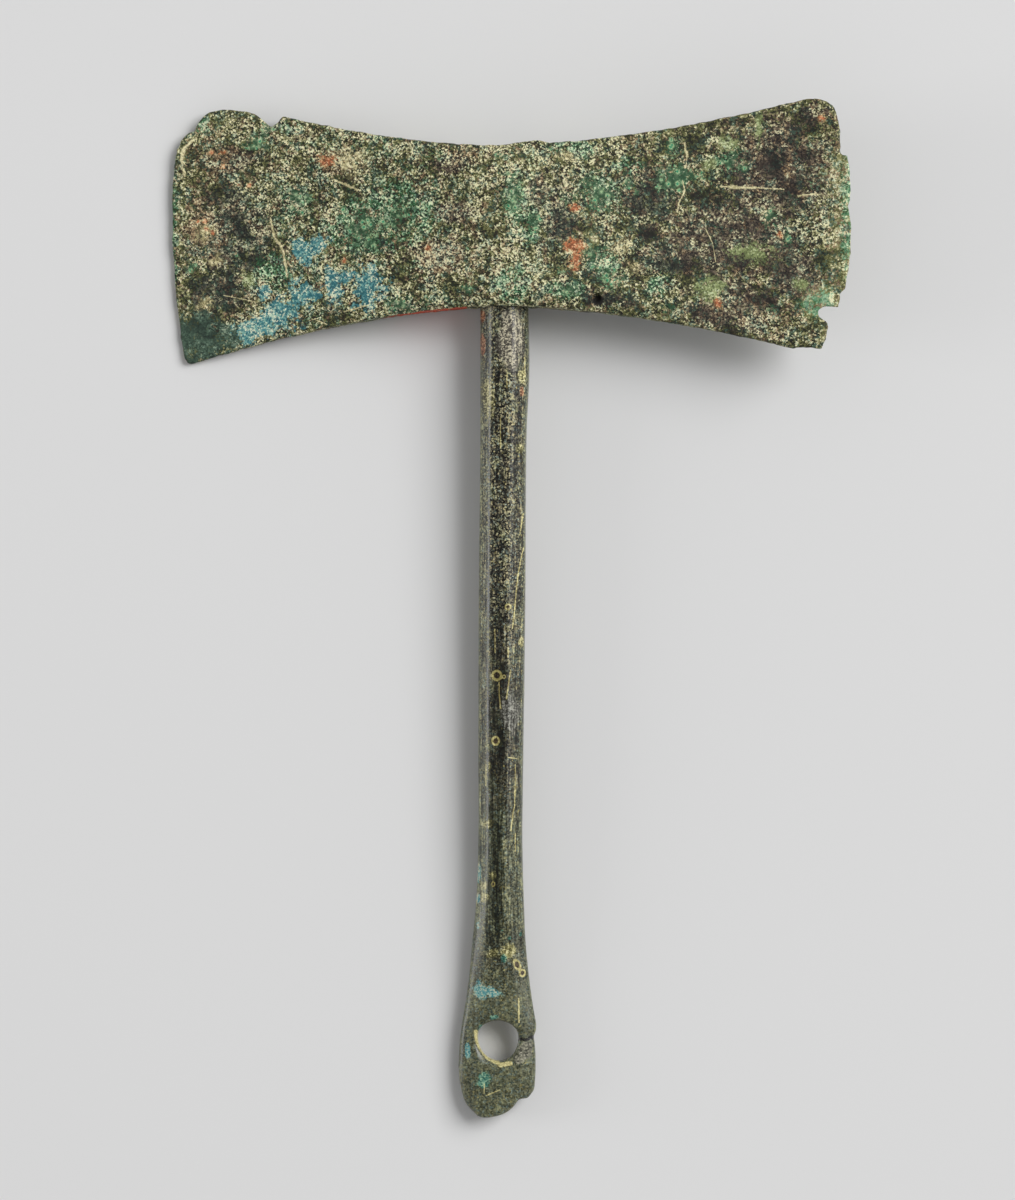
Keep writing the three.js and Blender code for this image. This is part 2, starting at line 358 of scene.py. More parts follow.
# %% Where the ground is dark, pale, green and brown
DARK = [
    (-44.9, 63.6, 3.2, 2.8, 0), (-47.5, 69.8, 3.2, 1.8, 0), (-38.2, 66.7, 1.8, 1.8, 0),
    (-33.0, 69.0, 1.6, 1.4, 0),
    (-43.5, 59.6, 3.4, 1.8, 0), (-51.6, 53.6, 2.6, 2.6, 0), (-47.4, 52.2, 3.2, 3.6, 0),
    (-28.6, 72.2, 2.6, 1.4, -20),
    (-21.8, 61.2, 3.4, 1.7, 0), (-17.5, 66.2, 2.0, 2.4, 0), (-17.8, 57.0, 2.2, 2.0, 0),
    (-3.6, 63.6, 1.8, 1.8, 0),
    (8.6, 62.8, 2.2, 3.6, 0), (11.8, 61.5, 1.0, 2.6, 0), (16.0, 51.6, 4.6, 1.3, 0),
    (15.0, 54.6, 2.2, 0.8, -25),
    (22.0, 68.6, 3.0, 3.2, 0), (32.8, 68.7, 4.0, 2.6, 8), (20.0, 57.0, 2.2, 2.2, 0),
    (22.5, 61.8, 2.6, 1.4, 0),
    (27.0, 56.6, 4.0, 2.4, 0), (44.6, 75.4, 3.6, 3.2, 0), (49.0, 80.0, 2.4, 2.0, 0),
    (30.8, 77.2, 1.8, 1.9, 0),
    (37.6, 57.6, 2.4, 1.8, 0), (45.0, 57.2, 3.4, 2.0, 0), (42.4, 51.8, 2.0, 1.6, 0),
    (51.8, 57.4, 1.4, 1.8, 0),
    (22.0, 74.6, 2.2, 1.4, 0), (46.8, 69.6, 2.6, 2.8, 0), (39.4, 63.6, 3.4, 1.8, 0),
    (37.0, 47.0, 2.0, 0.8, -10),
]
PALE = [
    (-48.0, 81.2, 3.4, 1.6, 0), (-40.6, 78.4, 2.2, 1.6, 0), (-36.4, 73.4, 2.6, 2.2, 0),
    (-36.6, 56.8, 1.5, 2.6, 0),
    (-27.4, 75.2, 2.6, 1.8, 0), (-19.0, 76.8, 6.0, 1.5, -6), (-30.4, 66.2, 1.4, 1.6, 0),
    (-35.8, 68.6, 1.3, 1.3, 0),
    (-12.0, 58.2, 3.8, 2.4, 0), (-7.0, 57.0, 2.4, 2.8, 0), (2.2, 75.4, 4.6, 2.2, 0),
    (-42.2, 47.4, 2.6, 2.2, 20),
    (0.6, 66.6, 1.5, 8.0, 0), (-0.6, 55.6, 2.0, 4.2, 0), (4.4, 70.0, 2.2, 3.0, 0), (4.4, 57.0, 2.2, 3.4, 0),
    (-6.0, 71.6, 2.4, 2.2, 0), (10.6, 76.2, 4.0, 1.7, 0), (14.6, 69.6, 2.0, 2.4, 0),
    (24.4, 54.0, 1.8, 2.0, 0),
    (35.8, 78.4, 2.0, 2.2, 0), (27.6, 72.2, 2.6, 1.6, 0), (33.0, 53.2, 2.1, 1.9, 0),
    (38.4, 49.8, 2.2, 1.2, 0),
    (50.2, 53.0, 2.2, 2.0, 0), (38.6, 59.0, 2.4, 1.2, 0), (54.0, 67.0, 2.8, 9.0, 0),
    (28.4, 60.6, 2.4, 1.3, 0),
    (50.8, 51.2, 3.4, 2.8, 0), (51.8, 45.4, 2.6, 2.2, 0), (50.8, 66.0, 1.6, 4.0, 0),
]
GREEN = [
    (-23.6, 66.0, 4.6, 2.6, 0), (-19.0, 68.0, 3.6, 3.2, 0), (-27.6, 63.0, 3.0, 2.4, 0),
    (-40.0, 56.4, 3.2, 3.0, 0),
    (-21.0, 61.6, 5.0, 2.0, 0), (-52.6, 81.4, 2.4, 2.2, 0), (-42.0, 79.4, 1.0, 1.4, 0),
    (-37.6, 80.4, 1.2, 0.8, 0),
    (0.8, 68.0, 1.6, 4.0, 0), (3.6, 64.0, 1.4, 3.0, 0), (15.0, 69.4, 2.8, 3.6, 0),
    (15.8, 57.2, 3.4, 2.4, -40),
    (11.0, 76.4, 4.6, 1.6, 0), (24.6, 54.0, 2.0, 2.0, 0), (27.8, 72.0, 2.8, 1.8, 0),
    (36.6, 74.8, 3.4, 1.8, 0),
    (33.0, 53.2, 2.6, 2.2, 0), (55.8, 66.0, 1.2, 10.0, 0), (50.8, 51.2, 3.2, 2.6, 0),
    (9.0, 53.2, 3.4, 1.6, 0),
    (-36.0, 67.8, 2.0, 1.8, 0), (-56.4, 62.0, 0.8, 17.0, 0), (44.8, 63.4, 1.2, 3.6, 20),
    (19.6, 73.8, 2.4, 1.6, 0),
    (-14.6, 65.6, 2.6, 2.4, 0), (0.0, 54.0, 3.0, 3.0, 0),
]
BROWN = [
    (-12.0, 58.8, 4.6, 2.6, 0), (-47.6, 75.0, 4.0, 2.6, 0), (44.0, 72.6, 8.0, 8.0, 0),
    (37.0, 62.0, 11.0, 6.5, 0),
    (38.0, 50.0, 9.0, 4.0, -10), (-50.6, 63.6, 3.0, 3.0, 0), (-29.8, 74.6, 2.6, 1.8, 0),
    (-9.6, 74.2, 3.0, 1.6, 0),
    (-9.4, 66.0, 3.0, 2.0, 0), (-49.4, 58.6, 2.4, 1.2, 0), (50.4, 82.2, 2.4, 1.6, 0),
    (47.0, 56.0, 4.0, 4.0, 0),
]
WARM = [
    (-50.0, 75.5, 4.5, 4.0, 0), (-51.5, 64.0, 3.0, 4.5, 0), (-29.0, 75.0, 3.4, 2.0, 0),
    (-12.0, 58.5, 5.0, 3.2, 0),
    (44.0, 48.5, 6.0, 2.0, 0), (-8.0, 76.0, 3.0, 1.4, 0),
]
COOL = [
    (-47.0, 63.0, 7.0, 9.0, 0), (-49.0, 53.0, 5.0, 4.0, 0), (8.0, 64.6, 3.2, 5.0, 0),
    (23.0, 68.0, 4.6, 5.0, 0),
    (17.0, 51.8, 5.0, 1.6, 0), (26.0, 58.6, 5.0, 4.0, 0), (4.8, 69.4, 2.2, 3.2, 0),
]
SPARKLE = [
    (-28.0, 73.0, 4.0, 3.4, 0), (-34.6, 69.0, 4.0, 3.4, 0), (20.0, 57.4, 2.4, 3.0, 0),
    (25.4, 53.4, 3.6, 2.8, 0),
    (32.0, 76.4, 5.0, 3.0, 0), (43.8, 77.6, 2.6, 2.6, 0), (42.0, 47.0, 6.0, 1.6, -8),
    (49.0, 63.0, 4.4, 3.0, 0),
    (12.4, 76.0, 2.0, 2.0, 0), (53.0, 68.0, 2.4, 3.0, 0),
]
CORNER = [(-53.0, 44.8, 6.4, 4.4, 15), (-47.0, 45.6, 4.4, 2.2, 15)]
SMEAR = [
    (50.8, 51.2, 3.2, 2.6, 0), (13.6, 65.6, 1.1, 2.2, 0), (13.8, 61.6, 1.3, 1.6, 0),
    (-3.4, 66.9, 1.0, 0.9, 0),
    (55.4, 51.6, 1.2, 0.9, 10),
]
NOTCH = [(50.8, 51.2, 3.0, 2.4, 0)]
top = soft(head_normals[:, 2], -0.2, 0.3)  # 1 on the upper side, 0 on the lower one
patchy = rough(head_places, size=5.0, octaves=3, seed=31.0)
clouds = rough(head_places, size=2.4, octaves=3, seed=17.0)


def leaning(spots, below):
    """1 in the spots and 0 away from them; on the lower side it is the field given instead."""
    return top * soft(spots_field(head_places, spots) + 0.35 * clouds, 1.5, 0.4) + (1 - top) * below


dark = leaning(DARK, soft(patchy, 0.1, 0.5))
pale = leaning(PALE, soft(patchy, -0.1, -0.5))
green = leaning(GREEN, soft(clouds, 0.1, 0.5))
brown = leaning(BROWN, soft(patchy, 0.0, 0.4))
cool = leaning(COOL, 0.0)
warm = leaning(WARM, 0.0)
sparkle = leaning(SPARKLE, 0.0)
corner = leaning(CORNER, 0.0)
notch = leaning(NOTCH, 0.0)
smear = top * soft(spots_field(head_places, SMEAR) + 0.3 * clouds, 1.3, 0.7)
left = soft(head_places[:, 0], -44.0, -52.0)
right = soft(head_places[:, 0], 17.0, 27.0)
rim = soft(head_places[:, 0], 51.0, 54.0) * soft(head_places[:, 1], 78.5, 74.5)
ridge = top * soft(np.abs(head_places[:, 0] - 1.5), 4.0, 1.5)
meadow = top * soft(np.abs(head_places[:, 0] + 24), 20.0, 10.0)
MEAN_TONE = 0.440  # 0 is near-black and 1 is cream
tone = (MEAN_TONE - 0.17 * dark + 0.12 * pale + 0.05 * clouds - 0.025 * meadow + 0.04 * ridge
        + 0.03 * patchy - 0.05 * corner - 0.02 * smear - 0.055 * right + 0.17 * rim + 0.09 * notch)
grit = (1 - 0.35 * dark - 0.5 * corner - 0.6 * smear - 0.2 * left - 0.25 * right - 0.25 * rim
        + 0.35 * sparkle + 0.15 * clouds)  # how strong the fine grain is
grit = np.clip(grit, 0.25, 1.4)
keep_field(head.data, "tone", tone)
keep_field(head.data, "grit", grit)
keep_field(head.data, "green", np.clip(green + 0.25 * clouds + 0.3 * meadow + 0.25 * ridge, 0, 1))
keep_field(head.data, "brown", np.clip(brown, 0, 1))
keep_field(head.data, "cool", cool)
keep_field(head.data, "warm", 0.1 + 0.5 * warm)
keep_field(head.data, "corner", corner)
print("mean tone:", round(tone.mean(), 2), "green:", round(green.mean(), 2), "brown:", round(brown.mean(), 2))

# %% [markdown]
# ## The minerals on the head
# Over the ground grew the minerals that can be told apart: sky-blue azurite along the lower
# left, bright green malachite in rings and dots, olive and orange stains, and cream lime in
# patches and in the cracks. They are read off the object one by one.

# %% Where the minerals grew
AZURITE = [
    (-35, 60.3, 1.5, 1.2, 0), (-32.1, 60.8, 1.7, 1.2, 25), (-33.6, 58.4, 1.2, 0.98, 0),
    (-29.3, 54.1, 1.7, 2.9, 0), (-27.4, 55.4, 1.2, 0.9, 0), (-31.9, 52.6, 1.2, 0.8, 0),
    (-23.3, 53.8, 2.5, 3.2, 0), (-22.9, 56.9, 0.8, 1.1, 0), (-41.2, 52.9, 0.98, 1.1, 0),
    (-35.2, 52.6, 2, 2.2, 0), (-43.2, 46.9, 2.2, 2.2, 20), (-40.5, 48.5, 2.7, 2.1, 30),
    (-37.7, 49.5, 2.4, 2.2, 30),
]
MALACHITE = [
    (-35.4, 68.4, 1.4, 1.3, 0), (-28.2, 66.6, 0.8, 0.4, 0), (-24.3, 63.0, 2.2, 2.2, 0),
    (-19.3, 65.9, 1.7, 1.7, 0), (-53.4, 57.6, 0.7, 0.7, 0), (-45.7, 59.3, 0.4, 0.3, 0),
    (-40.4, 80.4, 1.0, 0.8, 0), (-42.2, 77.7, 1.3, 0.7, 0), (-2.0, 75.4, 0.7, 0.5, 0),
    (0.5, 68.7, 1.2, 2.1, 0), (4.5, 64.2, 0.8, 1.2, 0), (14.5, 68.8, 2.6, 1.8, 0),
    (14.0, 58.8, 1.4, 1.2, 0), (16.7, 55.7, 1.7, 1.2, -40), (9.6, 53.1, 1.7, 1.0, 0),
    (-7.1, 53.1, 0.5, 0.7, 0), (8.6, 55.9, 0.7, 0.5, 0), (27.2, 76.6, 1.0, 1.0, 0),
    (35.0, 74.3, 0.5, 0.7, 0), (36.9, 74.4, 1.2, 1.2, 0), (38.8, 73.5, 0.6, 0.6, 0),
    (21.0, 69.2, 0.4, 0.6, 0), (19.8, 70.5, 0.6, 0.8, 0), (27.5, 71.7, 2.7, 1.6, 0),
    (43.2, 65.7, 0.9, 1.0, 0), (45.9, 61.9, 0.5, 1.5, 0), (50.1, 70.8, 0.6, 0.5, 0),
    (26.5, 50.1, 0.7, 0.5, 0), (-18.5, 50.9, 2.6, 0.7, 0), (42.9, 49.9, 0.8, 0.5, 0),
]
OLIVE = [
    (33.2, 53.3, 2.1, 1.6, 0), (40.3, 59.4, 2.8, 1.3, 0), (48.0, 54.1, 1.0, 1.0, 0),
    (-43.6, 55.2, 1.3, 0.8, 0), (32.8, 73.9, 1.3, 1.0, 0), (41.3, 80.7, 0.5, 1.8, 0),
    (36.1, 77.3, 1.3, 1.0, 0),
]
CUPRITE = [
    (10.9, 66.6, 0.7, 0.6, 0), (10.4, 60.4, 1.2, 0.9, 0), (10.8, 57.9, 0.8, 1.2, 0),
    (-30.1, 75.0, 1.3, 0.8, 0), (-49.8, 76.7, 0.35, 0.3, 0), (-48.2, 76.5, 0.4, 0.3, 0),
    (-48.1, 74.2, 0.4, 0.4, 0), (-52.2, 65.1, 0.3, 0.3, 0), (-51.0, 65.1, 0.3, 0.3, 0),
    (-50.8, 63.8, 0.3, 0.3, 0), (-49.8, 63.1, 0.3, 0.3, 0), (-45.3, 71.1, 0.3, 0.3, 0),
    (-43.6, 71.0, 0.3, 0.3, 0), (51.5, 81.6, 0.5, 0.6, 0), (44.8, 62.4, 0.4, 0.6, 0),
    (34.6, 50.9, 0.5, 0.7, 0), (-13.6, 60.2, 0.4, 0.5, 0), (-27.6, 58.3, 0.4, 0.5, 0),
]
LIME = [
    (-48.9, 58.4, 0.9, 0.8, 0), (-51.0, 51.4, 1.0, 1.0, 0), (21.0, 56.7, 0.8, 0.8, 0),
    (18.1, 60.2, 1.2, 1.0, 0), (9.5, 75.4, 1.2, 0.8, 0), (-27.0, 75.0, 2.1, 1.7, 0),
    (-51.0, 63.2, 1.5, 1.2, 0),
]
VEINS = [
    (0.24, (-52.7, 79.0), (-54.5, 77.4), (-55.0, 75.2), (-54.5, 72.9)),
    (0.15, (-40.0, 65.3), (-39.4, 62.6), (-38.0, 60.6), (-37.5, 58.3), (-37.2, 56.0)),
    (0.18, (-29.1, 71.8), (-27.4, 71.2), (-25.4, 70.1)), (0.15, (-29.1, 75.0), (-27.4, 73.8)),
    (0.08, (-32.8, 48.6), (-30.8, 47.9)), (0.08, (-27.4, 49.9), (-23.8, 50.8)),
    (0.05, (-47.6, 52.7), (-42.9, 51.7)), (0.17, (29.0, 77.3), (29.5, 75.6), (29.1, 73.6)),
    (0.17, (35.1, 70.3), (40.8, 70.1)), (0.08, (40.8, 70.1), (45.1, 69.8)),
    (0.12, (48.0, 68.8), (51.4, 69.0)), (0.08, (28.7, 71.0), (29.0, 69.6), (28.0, 67.6), (27.8, 66.3)),
    (0.06, (32.6, 63.0), (33.6, 61.0), (34.1, 58.1)),
]
RED_EDGE = [(0.5, (-28.2, 47.1), (-19.3, 48.8), (-13.5, 49.9), (-10.1, 50.3), (-7.5, 50.4))]
SEAM = [(0.7, (-7.0, 50.9), (-3.0, 51.2), (1.0, 51.3), (4.5, 51.2), (9.0, 50.6))]
PIT = [(14.6, 51.4, 1.0, 0.9, 0)]
HEAD_SPOTS = {
    "azurite": AZURITE, "malachite": MALACHITE, "olive": OLIVE, "cuprite": CUPRITE, "lime": LIME, "pit": PIT,
}
below = np.where(top > 0.5, 0.0, FAR)  # the lower side keeps only the ground colours
for name, spots in HEAD_SPOTS.items():
    keep_field(head.data, name, np.maximum(spots_field(head_places, spots), below))
for name, lines in (("vein", VEINS), ("red", RED_EDGE), ("seam", SEAM)):
    across, near = lines_fields(head_places, lines)
    keep_field(head.data, name + "_across", across)
    seen = top if name == "vein" else soft(head_normals[:, 2], 0.6, 0.3)  # the rims carry the others
    keep_field(head.data, name + "_near", near * seen)
print("spots:", {name: len(spots) for name, spots in HEAD_SPOTS.items()}, "and", len(VEINS), "veins")

# %% [markdown]
# ## Corroded cast bronze
# A cast bronze that lay in soil grows a crust of copper salts and lime, as fine as sand: grains
# of a third of a millimetre, cream and green on near-black. The eye sees that as a strong
# speckle, whose shares of dark and pale change from place to place. So one tone is made first.
# Its fine part is a noise of 0.38 mm, sand of 0.25 mm, some pale chips of 0.54 mm and thin
# threads between cells of 1.5 mm. Its broad part is a noise of 2.8 mm and flakes of 1.2 mm.
# The ground's own field is added to both.
#
# Ramps turn the tone into colours: tan everywhere, and cold, green, brown, warm and slate
# where their fields are high. Each grain of sand and each flake has a random number that
# helps to choose its ramp, so the grounds mix grain by grain more than they fade.

# %% The grain of the crust
GRAIN, CLUMPS, CRUMBS = 0.38, 2.8, 2.1  # sizes of the noises, in mm
# Sand, chips, flakes and threads: what is measured in their cells, and the cells' size in mm.
CELLS = (("F1", 0.25), ("F1", 0.54), ("F1", 1.2), ("DISTANCE_TO_EDGE", 1.5))
GRAIN_GAIN, SAND_GAIN, CLUMPS_GAIN, FLAKES_GAIN = 1.2, 1.35, 1.0, 0.20
FLECKS_MEAN = 0.06  # what the chips and threads add on average
crust, tree, shader, place = new_material("Corroded cast bronze")
grain = add(tree, "ShaderNodeTexNoise",
            {"Scale": 1 / GRAIN, "Detail": 2.0, "Roughness": 0.8, "Distortion": 0.3},
            {"Vector": place})
clumps = add(tree, "ShaderNodeTexNoise",
             {"Scale": 1 / CLUMPS, "Detail": 3.0, "Roughness": 0.68, "Distortion": 0.8},
             {"Vector": place})
crumbs = add(tree, "ShaderNodeTexNoise", {"Scale": 1 / CRUMBS, "Detail": 5.0, "Roughness": 0.75},
             {"Vector": place})
bent = add(tree, "ShaderNodeVectorMath", {"operation": "MULTIPLY_ADD", 1: (0.7, 0.7, 0.7)},
           {0: grain.outputs["Color"], 2: place})
sand, chips, flakes, lace = (
    add(tree, "ShaderNodeTexVoronoi", {"feature": feature, "Scale": 1 / size}, {"Vector": bent})
    for feature, size in CELLS)
sand_lots, chip_lots, flake_lots = (
    add(tree, "ShaderNodeSeparateColor", {}, {"Color": cells.outputs["Color"]})
    for cells in (sand, chips, flakes))
chip = add(tree, "ShaderNodeMapRange", {"From Min": 0.42, "From Max": 0.30}, {"Value": chips})
favour = add(tree, "ShaderNodeMath", {"operation": "MULTIPLY_ADD", 1: 2.4}, {0: crumbs, 2: chip_lots})
favour = add(tree, "ShaderNodeMath", {"operation": "MULTIPLY_ADD", 1: 1.3}, {0: "tone", 2: favour})
chosen = add(tree, "ShaderNodeMapRange", {"From Min": 2.36, "From Max": 2.44, "To Max": 0.5},
             {"Value": favour})
thread = add(tree, "ShaderNodeMapRange", {"From Min": 0.05, "From Max": 0.0, "To Max": 0.5}, {"Value": lace})
threads = add(tree, "ShaderNodeMapRange", {"From Min": 0.50, "From Max": 0.62}, {"Value": crumbs})
flecks = add(tree, "ShaderNodeMath", {"operation": "MULTIPLY"}, {0: chip, 1: chosen})
flecks = add(tree, "ShaderNodeMath", {"operation": "MULTIPLY_ADD"}, {0: thread, 1: threads, 2: flecks})
fine = add(tree, "ShaderNodeMath", {"operation": "MULTIPLY_ADD", 1: GRAIN_GAIN}, {0: grain, 2: flecks})
fine = add(tree, "ShaderNodeMath", {"operation": "MULTIPLY_ADD", 1: SAND_GAIN}, {0: sand_lots, 2: fine})
fine_mean = GRAIN_GAIN / 2 + SAND_GAIN / 2 + FLECKS_MEAN
fine = add(tree, "ShaderNodeMath", {"operation": "SUBTRACT", 1: fine_mean}, {0: fine})
strength = add(tree, "ShaderNodeMapRange",
               {"From Min": 0.38, "From Max": 0.62, "To Min": 0.55, "To Max": 1.3},
               {"Value": clumps})
fine = add(tree, "ShaderNodeMath", {"operation": "MULTIPLY"}, {0: fine, 1: "grit"})
fine = add(tree, "ShaderNodeMath", {"operation": "MULTIPLY"}, {0: fine, 1: strength})
broad_mean = CLUMPS_GAIN / 2 + FLAKES_GAIN / 2
broad = add(tree, "ShaderNodeMath", {"operation": "MULTIPLY_ADD", 1: CLUMPS_GAIN, 2: -broad_mean},
            {0: clumps})
broad = add(tree, "ShaderNodeMath", {"operation": "MULTIPLY_ADD", 1: FLAKES_GAIN}, {0: flake_lots, 2: broad})
swing = add(tree, "ShaderNodeMath", {"operation": "ADD"}, {0: fine, 1: broad})
ground_tone = add(tree, "ShaderNodeMath", {"operation": "ADD"}, {0: swing, 1: "tone"})

# %% The ground's colours
STEPS = (0.00, 0.16, 0.30, 0.43, 0.56, 0.69, 0.83, 1.00)
TAN = ("#14170a", "#2a2d14", "#404322", "#585a33", "#757548", "#959466", "#bdb88b", "#f1edc2")
GREENISH = ("#0c2110", "#173a1c", "#28542f", "#3d7048", "#5a8b65", "#7fab86", "#abcba2", "#e0efc6")
BROWNISH = ("#15110e", "#2a231d", "#413830", "#574d42", "#6f6353", "#8d8168", "#b0a886", "#e2dfb8")
COLD = ("#0f120f", "#1f241f", "#31362e", "#454a3f", "#5c6051", "#7b7d67", "#a09e7f", "#d5cfaa")
WARM_TAN = ("#1c150d", "#38291a", "#554431", "#745f45", "#93795a", "#b19873", "#cebb90", "#eae1ba")
SLATE = ("#16221c", "#24342b", "#314438", "#405545", "#506856", "#647a69", "#81957f", "#bac8aa")
GROUNDS = {  # field: its colours, the random number that it draws, and where it starts and is full
    "cool": (COLD, "Blue", 1.65, 2.05),
    "green": (GREENISH, "Green", 1.65, 2.05),
    "brown": (BROWNISH, "Blue", 1.45, 1.90),
    "warm": (WARM_TAN, "Blue", 1.65, 2.05),
    "corner": (SLATE, "Green", 1.5, 1.9),
}
LOT_GAIN, CRUMBS_GAIN = 0.9, 0.8
ground = add(tree, "ShaderNodeValToRGB", {"stops": list(zip(STEPS, TAN))}, {"Fac": ground_tone})
for name, (codes, lot, start, full) in GROUNDS.items():
    colour = add(tree, "ShaderNodeValToRGB", {"stops": list(zip(STEPS, codes))}, {"Fac": ground_tone})
    lean = name
    for chances in (sand_lots, flake_lots):
        lean = add(tree, "ShaderNodeMath", {"operation": "MULTIPLY_ADD", 1: LOT_GAIN},
                   {0: chances.outputs[lot], 2: lean})
    lean = add(tree, "ShaderNodeMath", {"operation": "MULTIPLY_ADD", 1: CRUMBS_GAIN}, {0: crumbs, 2: lean})
    share = add(tree, "ShaderNodeMapRange", {"From Min": start, "From Max": full}, {"Value": lean})
    ground = add(tree, "ShaderNodeMix", {"data_type": "RGBA"}, {"Factor": share, "A": ground, "B": colour})

# %% The minerals over it
MINERAL_STEPS = (0.08, 0.40, 0.66, 0.95)
BORDER = 0.68  # the noise's value that leaves a border in place
MINERALS = (  # field, reach in radii, raggedness, edge, colours
    ("olive", 1.0, 5.0, 0.3, ("#58623b", "#828e5a", "#a5b17c", "#ccd5a8")),
    ("lime", 1.0, 6.0, 0.5, ("#5b5639", "#a0976c", "#cfc594", "#efe6bb")),
    ("malachite", 1.0, 8.0, 0.35, ("#235236", "#468a62", "#88b892", "#e0ebc6")),
    ("azurite", 1.0, 5.5, 0.12, ("#28626a", "#4f8f93", "#8cbcac", "#e4e8cb")),
    ("cuprite", 1.35, 5.0, 0.3, ("#5a4c30", "#9a8a5e", "#c4b583", "#ece0ae")),
    ("cuprite", 1.0, 5.0, 0.3, ("#7c4a2e", "#bd6c44", "#d28e64", "#e8c79c")),
)
rings = add(tree, "ShaderNodeTexVoronoi", {"Scale": 1 / 1.05}, {"Vector": bent})
ringed = add(tree, "ShaderNodeValToRGB", {"stops": [
    (0.0, "#1f8a60"), (0.18, "#349a70"), (0.28, "#bcd09e"), (0.38, "#6d8c66"), (0.55, "#2c4a30")]},
    {"Fac": rings})
surface = ground
speckled = add(tree, "ShaderNodeMath", {"operation": "MULTIPLY_ADD", 1: 0.35}, {0: grain, 2: crumbs})
scattered = add(tree, "ShaderNodeMath", {"operation": "MULTIPLY_ADD", 1: 0.16, 2: -0.08},
                {0: sand_lots.outputs["Blue"]})
scattered = add(tree, "ShaderNodeMath", {"operation": "ADD"}, {0: scattered, 1: speckled})
for name, reach, raggedness, edge, codes in MINERALS:
    colour = add(tree, "ShaderNodeValToRGB", {"stops": list(zip(MINERAL_STEPS, codes))}, {"Fac": ground_tone})
    if name == "malachite":
        colour = add(tree, "ShaderNodeMix", {"data_type": "RGBA", "Factor": 0.85}, {"A": colour, "B": ringed})
    borders = speckled if name == "azurite" else scattered
    surface = cover(tree, surface, colour, name, borders, raggedness, BORDER, edge, reach)
wander = add(tree, "ShaderNodeMath", {"operation": "MULTIPLY_ADD", 1: 5.0, 2: -2.5}, {0: clumps})
cream = add(tree, "ShaderNodeValToRGB", {"stops": [(0.0, "#b0a779"), (0.7, "#f2e9bc")]}, {"Fac": ground_tone})
ochre = add(tree, "ShaderNodeValToRGB", {"stops": [(0.1, "#3a2d18"), (0.8, "#a5875a")]}, {"Fac": ground_tone})
red = add(tree, "ShaderNodeValToRGB", {"stops": [(0.0, "#a03a26"), (0.8, "#e0603f")]}, {"Fac": ground_tone})
for name, colour in (("vein", cream), ("seam", ochre), ("red", red)):
    moved = add(tree, "ShaderNodeMath", {"operation": "ADD"}, {0: name + "_across", 1: wander})
    width = add(tree, "ShaderNodeMath", {"operation": "ABSOLUTE"}, {0: moved})
    closeness = add(tree, "ShaderNodeMapRange",
                    {"From Min": 0.6, "From Max": 0.4, "To Min": 0.0, "To Max": FAR},
                    {"Value": name + "_near"})
    line = add(tree, "ShaderNodeMath", {"operation": "MAXIMUM"}, {0: width, 1: closeness})
    surface = cover(tree, surface, colour, line, scattered, 5.0, BORDER, 0.4)
# painted shade: the pit is painted near-black, for the shadow in its hollow
painted_pit_shade = add(tree, "ShaderNodeValToRGB", {"stops": [(0.3, "#0b0a08"), (0.8, "#2c2a22")]}, {"Fac": ground_tone})
surface = cover(tree, surface, painted_pit_shade, "pit", grain, 0.8, 0.5, 0.25)
tree.links.new(surface.outputs[2], shader.inputs["Base Color"])

# %% Its roughness and fine relief
matt = add(tree, "ShaderNodeMapRange", {"From Min": 0.2, "From Max": 0.7, "To Min": 0.62, "To Max": 0.9},
           {"Value": ground_tone})
tree.links.new(matt.outputs[0], shader.inputs["Roughness"])
shader.inputs["Specular IOR Level"].default_value = 0.35
bump = add(tree, "ShaderNodeBump", {"Strength": 0.7, "Distance": 0.10 * MM}, {"Height": ground_tone})
tree.links.new(bump.outputs[0], shader.inputs["Normal"])
head.data.materials.append(crust)

# %% [markdown]
# ## Dark patina on worked bronze
# The rod was hammered and rubbed along its length. Its patina is thin, dark and glossy, so the
# metal's shape shows in long highlights, with fine streaks along it. Bands of painted light run
# along it too: a painted shade band left of its middle, and painted highlights on a band right
# of the middle and along the left flank. Here and there the soil left cream streaks, yellow
# rings around small pits, and slivers of blue.

# %% Where the marks on the rod are
FILED = [(0.0, 45.2, 2.2, 4.8, 0), (0.5, 41.4, 1.0, 1.8, 0)]
SCRAPED = [(-0.1, -16.9, 1.7, 3.4, 0), (2.6, -73.4, 1.1, 1.7, 0)]
ROD_CUPRITE = [(-4.5, 49.0, 0.5, 0.9, 0), (-4.5, 44.2, 0.4, 1.7, 0), (2.0, 36.4, 0.3, 0.8, 0)]
ROD_OLIVE = [
    (-3.5, 35.6, 1.0, 3.3, 0), (2.0, 38.9, 0.7, 1.2, 0), (1.6, 27.0, 0.6, 0.8, 0), (-3.8, -35.6, 1.0, 0.8, 0),
    (-3.7, -26.1, 0.4, 0.7, 0), (1.9, -5.3, 0.4, 0.8, 0), (-2.9, -44.2, 0.6, 0.7, 0),
    (-4.3, -45.8, 0.7, 0.8, 0), (-4.2, -47.9, 0.8, 0.8, 0), (-2.7, -57.1, 0.9, 0.8, 0),
    (-0.3, -56.8, 1.2, 1.1, 0),
]
RINGS = [
    (-2.2, -10.8, 0.75, 0.8, 0), (-1.0, -11.0, 0.3, 0.3, 0), (-2.4, -21.7, 0.6, 0.7, 0),
    (-0.3, 0.6, 0.5, 0.5, 0),
    (2.1, -60.5, 0.5, 0.6, 0), (-2.8, -45.6, 0.3, 0.4, 0), (1.2, -59.1, 0.5, 0.9, 25),
]
